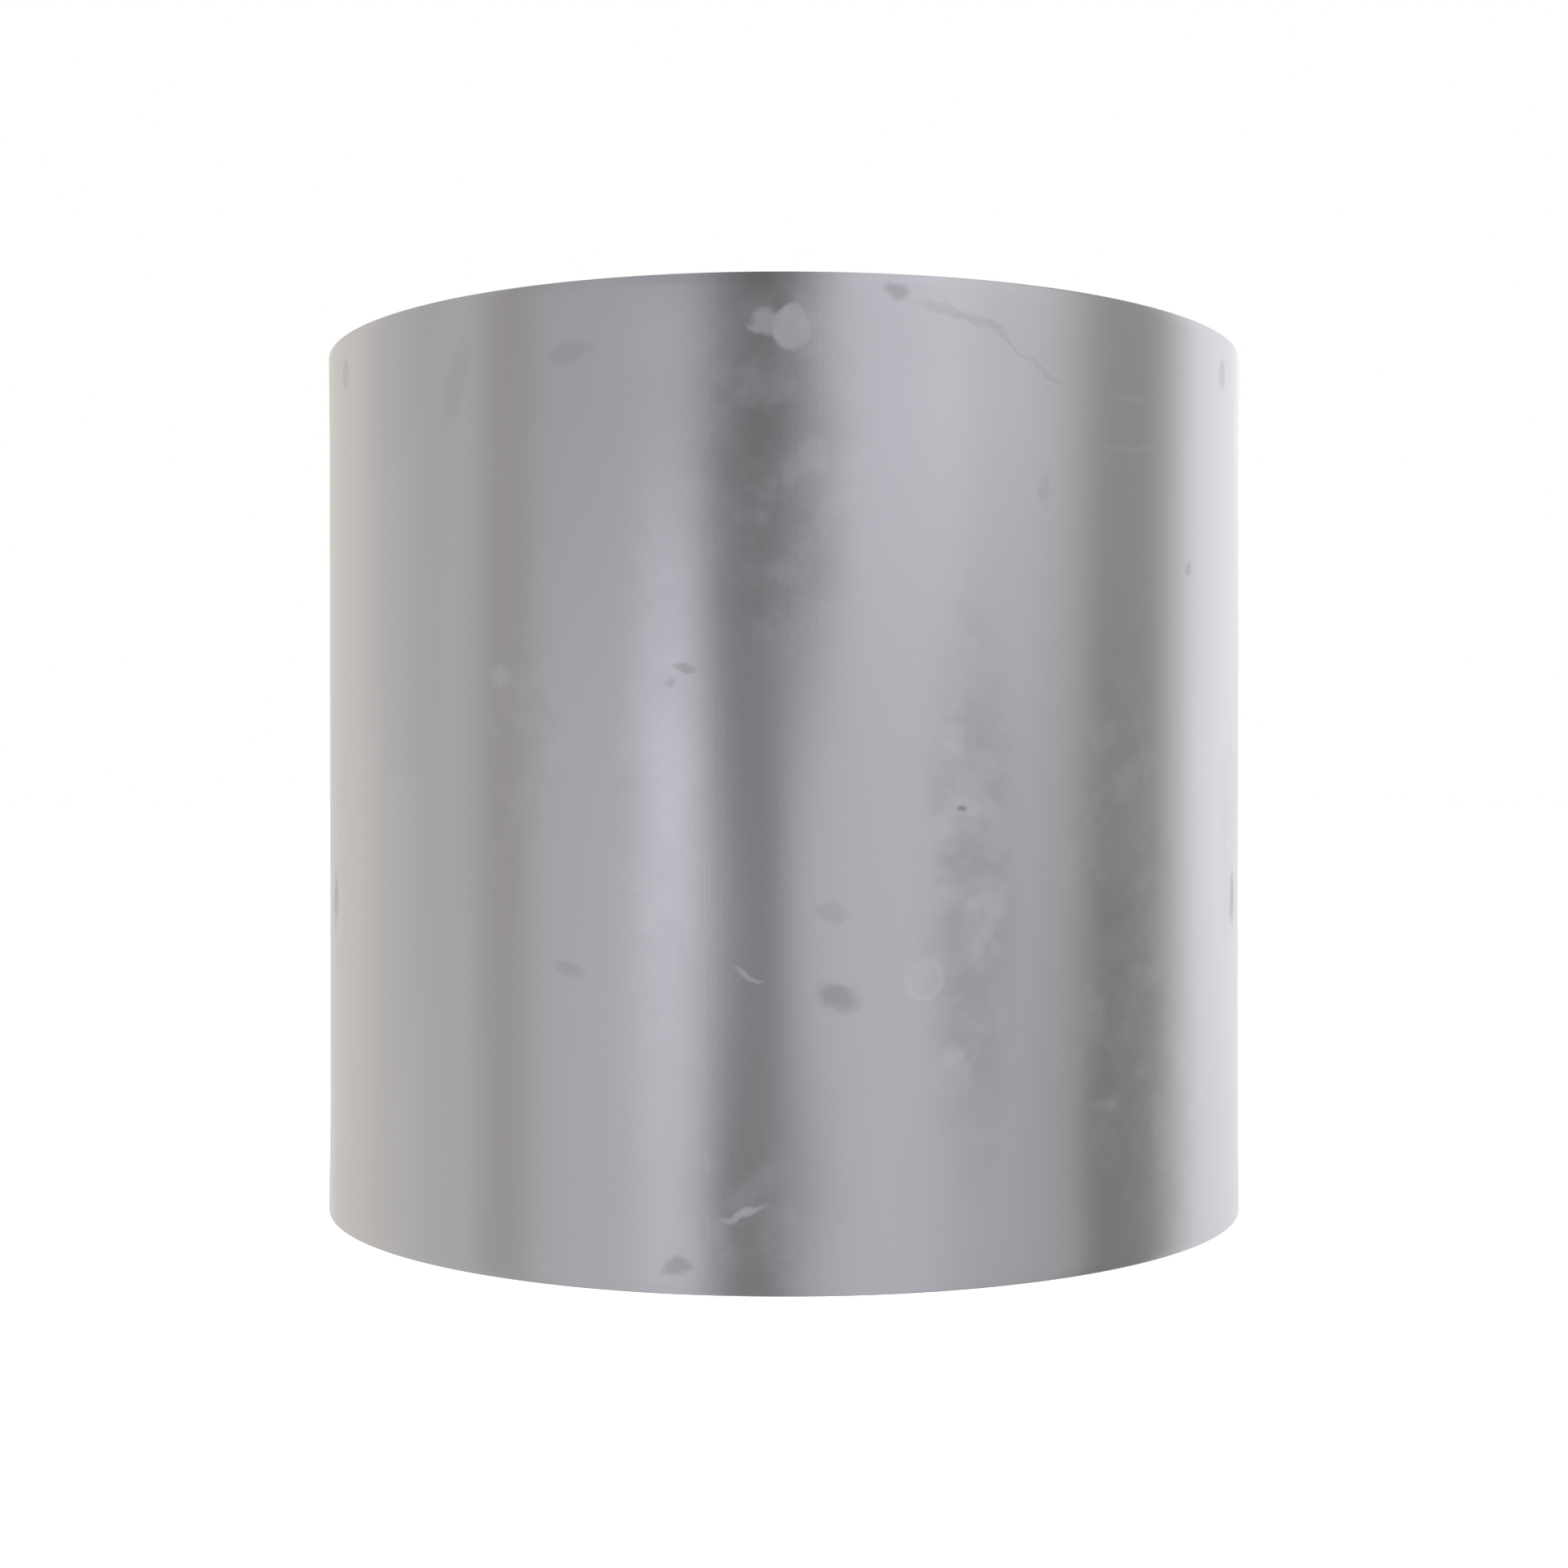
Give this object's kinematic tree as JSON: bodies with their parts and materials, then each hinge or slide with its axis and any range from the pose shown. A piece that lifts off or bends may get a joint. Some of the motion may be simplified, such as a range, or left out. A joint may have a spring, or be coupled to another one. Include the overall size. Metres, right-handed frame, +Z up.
{
  "type": "candle tin",
  "caption": "Straight-walled round metal candle tin with a press-in lid sunk below the rim, filled with wax around one wick.",
  "frame": {"origin": "middle of the foot, on the surface that the tin stands on", "axes": "+Z up along the tin's own axis; the side seam is at the back, towards +Y, and the front faces -Y"},
  "size_m": [0.089, 0.089, 0.0816],
  "materials": {
    "wall_tinplate": "satin tinplate with handling smudges and specks",
    "ring_tinplate": "satin pressed tinplate",
    "base_tinplate": "satin pressed tinplate, scuffed at the foot",
    "sealing_compound": "matte cured sealing compound",
    "sticker_foam": "matte adhesive foam",
    "sustainer_tinplate": "bright pressed tinplate",
    "wick_cotton": "waxed braided cotton",
    "wax": "creamy soft wax, slightly translucent",
    "lid_tinplate": "satin pressed tinplate with fine turning marks",
    "gasket_silicone": "milky translucent silicone"
  },
  "bodies": {
    "tin": {"side_wall": "wall_tinplate", "top_ring": "ring_tinplate", "base_plate": "base_tinplate", "base_seal": "sealing_compound", "wick_sticker": "sticker_foam", "wick_sustainer": "sustainer_tinplate", "wick": "wick_cotton", "wax_fill": "wax"},
    "lid": {"lid_pan": "lid_tinplate", "lid_gasket": "gasket_silicone"}
  },
  "joints": [
    {"name": "lid_lift", "type": "slide", "parent": "tin", "child": "lid", "axis": [0, 0, 1], "range_m": [0, 0.06]}
  ]
}
